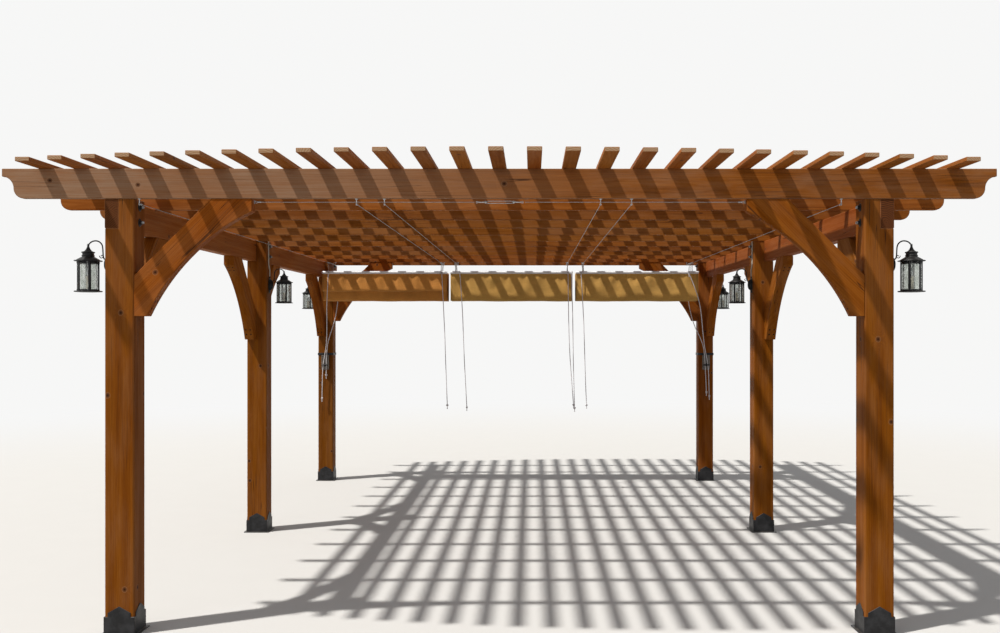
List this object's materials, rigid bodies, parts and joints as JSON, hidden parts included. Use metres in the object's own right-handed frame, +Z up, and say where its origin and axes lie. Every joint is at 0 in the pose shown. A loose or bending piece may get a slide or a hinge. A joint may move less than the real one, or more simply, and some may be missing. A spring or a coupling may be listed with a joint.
{
  "type": "garden pergola",
  "caption": "Timber pergola on square posts with curved knee braces, ogee-ended cross beams, laid slats, wall lanterns and gathered shade cloths.",
  "frame": {"origin": "on the ground, in the middle of the plan box", "axes": "+X to the right seen from the front, +Y from front to back along the slats, +Z up"},
  "size_m": [6.424, 8.768, 3.04],
  "materials": {
    "post_timber": "oiled, satin",
    "side_beam_timber": "oiled, satin",
    "front_beam_timber": "weathered oil",
    "beam_timber": "oiled, satin",
    "slat_timber": "oiled, satin",
    "brace_timber": "oiled, satin",
    "black_steel": "satin powder coat",
    "bolt_steel": "satin",
    "lantern_black": "textured",
    "lantern_glass": "clear",
    "conduit_cream": "satin",
    "candle_ivory": "matte",
    "shade_canvas": "woven canvas",
    "rail_white": "gloss",
    "wire_steel": "galvanised",
    "cord_white": "braided"
  },
  "bodies": {
    "root": {"post_front_left": "post_timber", "post_front_right": "post_timber", "post_middle_left": "post_timber", "post_middle_right": "post_timber", "post_back_left": "post_timber", "post_back_right": "post_timber", "post_bases_front": "black_steel", "post_bases_middle": "black_steel", "post_bases_back": "black_steel", "side_beam_left": "side_beam_timber", "side_beam_right": "side_beam_timber", "cross_beam_front": "front_beam_timber", "cross_beams_front_bay": "beam_timber", "cross_beam_middle": "beam_timber", "cross_beams_back_bay": "beam_timber", "cross_beams_back": "beam_timber", "slats_left": "slat_timber", "slats_middle": "slat_timber", "slats_right": "slat_timber", "cross_braces_front": "brace_timber", "cross_braces_back": "brace_timber", "side_braces_left": "brace_timber", "side_braces_right": "brace_timber", "bolts": "bolt_steel", "lanterns_front": "lantern_black", "lanterns_middle": "lantern_black", "lanterns_back": "lantern_black", "lantern_conduits": "conduit_cream", "lantern_panes": "lantern_glass", "lantern_candles": "candle_ivory", "shade_cloth_left": "shade_canvas", "shade_cloth_middle": "shade_canvas", "shade_cloth_right": "shade_canvas", "shade_rails": "rail_white", "shade_battens": "rail_white", "shade_hangers": "wire_steel", "guide_wires": "wire_steel", "wire_fittings": "wire_steel", "cord_cleats": "black_steel", "pull_cord_left": "cord_white", "pull_cord_left_back": "cord_white", "pull_cord_right": "cord_white", "pull_cord_right_back": "cord_white", "pull_cord_1": "cord_white", "pull_cord_2": "cord_white", "pull_cord_3": "cord_white", "pull_cord_4": "cord_white", "pull_cord_5": "cord_white"}
  },
  "joints": []
}
